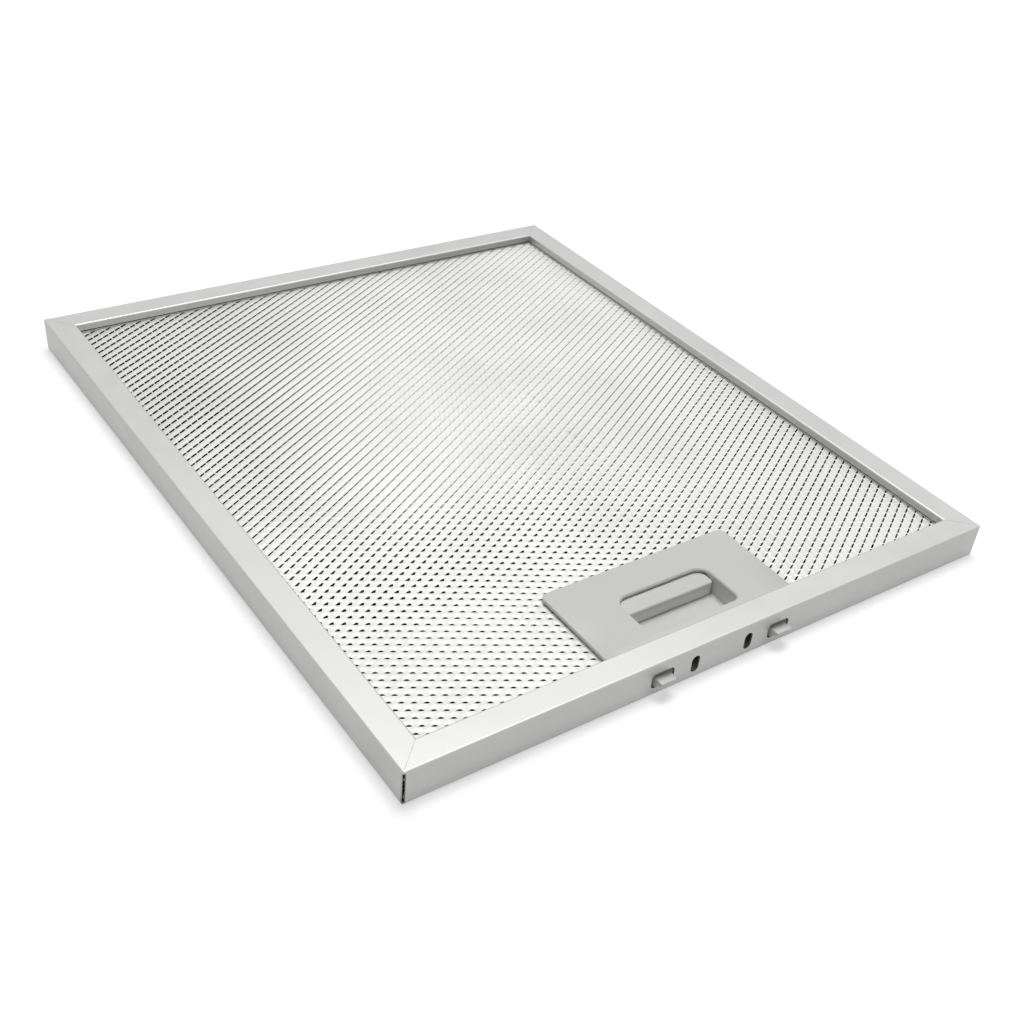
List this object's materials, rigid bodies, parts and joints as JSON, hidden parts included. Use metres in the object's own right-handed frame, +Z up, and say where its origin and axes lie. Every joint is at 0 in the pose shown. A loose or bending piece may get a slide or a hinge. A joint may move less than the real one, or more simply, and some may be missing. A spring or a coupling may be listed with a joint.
{
  "type": "cooker hood grease filter",
  "caption": "Flat rectangular metal grease filter: a folded aluminium frame round a pack of expanded mesh, with a sprung finger latch in its front edge.",
  "frame": {"origin": "on the underside, in the middle of the frame", "axes": "+X along the latch edge, +Y from the latch edge to the back edge, +Z up, towards the side with the finger grip"},
  "size_m": [0.253, 0.3035, 0.0134],
  "materials": {
    "frame_aluminium": "smooth satin sheet",
    "mesh_aluminium": "bright expanded metal",
    "latch_plastic": "fine moulded grain",
    "spring_steel": "drawn wire"
  },
  "bodies": {
    "filter": {"frame": "frame_aluminium", "upper_guard_mesh": "mesh_aluminium", "inner_mesh_1": "mesh_aluminium", "inner_mesh_2": "mesh_aluminium", "inner_mesh_3": "mesh_aluminium", "lower_guard_mesh": "mesh_aluminium", "latch_housing": "latch_plastic", "latch_base": "latch_plastic", "left_spring": "spring_steel", "right_spring": "spring_steel"},
    "latch": {"latch_slider": "latch_plastic"}
  },
  "joints": [
    {"name": "latch_slide", "type": "slide", "parent": "filter", "child": "latch", "axis": [0, 1, 0], "range_m": [0, 0.0045], "stiffness_N_per_m": 900, "springref_m": -0.004, "deforming": ["left_spring", "right_spring"]}
  ]
}
